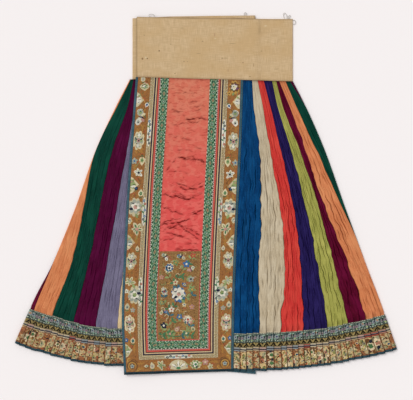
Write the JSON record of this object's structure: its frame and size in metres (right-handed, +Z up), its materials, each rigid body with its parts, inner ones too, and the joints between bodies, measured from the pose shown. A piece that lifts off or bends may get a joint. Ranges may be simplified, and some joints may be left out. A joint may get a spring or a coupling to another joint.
{
  "type": "embroidered skirt",
  "caption": "Wrapped pleated silk skirt laid flat, with an embroidered front panel, rainbow gores, ribbon borders at the hem and a wide woven waistband.",
  "frame": {"origin": "centre of the bounding box at floor level, under the back panel", "axes": "+X across the skirt to its right side fold, +Y from the hem up to the waistband, +Z up from the floor, towards the front panel's face"},
  "size_m": [1.0156, 0.9621, 0.0128],
  "materials": {
    "hemp_band": "plain woven hemp, matt",
    "cotton_thread": "twisted cotton thread, matt",
    "coral_damask": "figured damask silk, soft sheen",
    "silk_beige": "plain silk, soft sheen",
    "teal_binding": "silk bias binding, soft sheen",
    "silk_blue": "plain silk, soft sheen",
    "silk_coral": "plain silk, soft sheen",
    "silk_navy": "plain silk, soft sheen",
    "silk_olive": "plain silk, soft sheen",
    "silk_maroon": "plain silk, soft sheen",
    "silk_orange": "plain silk, soft sheen",
    "silk_green": "plain silk, soft sheen",
    "silk_plum": "plain silk, soft sheen",
    "silk_grey": "plain silk, soft sheen",
    "silk_cream": "plain silk, soft sheen",
    "floral_ribbon": "woven floral ribbon",
    "zigzag_ribbon": "woven zigzag ribbon",
    "stripe_braid": "woven striped braid",
    "brown_ribbon": "woven brocade ribbon",
    "speckled_braid": "speckled couched braid",
    "coral_braid": "striped silk braid",
    "green_ribbon": "woven floral ribbon",
    "gold_embroidery": "silk embroidery, satin stitch"
  },
  "bodies": {
    "root": {"waistband": "hemp_band", "loop_left": "cotton_thread", "loop_middle": "cotton_thread", "loop_right_long": "cotton_thread", "loop_right_short": "cotton_thread", "loop_corner": "cotton_thread", "back_panel": "coral_damask", "inner_panel": "silk_beige", "inner_panel_binding": "teal_binding", "right_gore_blue": "silk_blue", "right_gore_beige": "silk_beige", "right_gore_coral": "silk_coral", "right_gore_navy": "silk_navy", "right_gore_olive": "silk_olive", "right_gore_maroon": "silk_maroon", "right_gore_orange": "silk_orange", "right_gore_green": "silk_green", "right_gore_plum": "silk_plum", "right_gore_grey": "silk_grey", "right_gore_cream": "silk_cream", "right_hem_floral_ribbon": "floral_ribbon", "right_hem_zigzag_ribbon": "zigzag_ribbon", "right_hem_stripe_braid": "stripe_braid", "right_hem_brown_ribbon": "brown_ribbon", "right_hem_binding": "teal_binding", "left_gore_cream": "silk_cream", "left_gore_grey": "silk_grey", "left_gore_plum": "silk_plum", "left_gore_green": "silk_green", "left_gore_orange": "silk_orange", "left_gore_maroon": "silk_maroon", "left_gore_olive": "silk_olive", "left_gore_navy": "silk_navy", "left_gore_coral": "silk_coral", "left_gore_beige": "silk_beige", "left_gore_blue": "silk_blue", "left_hem_floral_ribbon": "floral_ribbon", "left_hem_zigzag_ribbon": "zigzag_ribbon", "left_hem_stripe_braid": "stripe_braid", "left_hem_brown_ribbon": "brown_ribbon", "left_hem_binding": "teal_binding", "front_panel": "coral_damask", "front_panel_binding": "teal_binding", "front_panel_brown_ribbon": "brown_ribbon", "front_panel_speckled_braid": "speckled_braid", "front_panel_coral_braid": "coral_braid", "front_panel_green_ribbon": "green_ribbon", "front_panel_square": "gold_embroidery"}
  },
  "joints": []
}
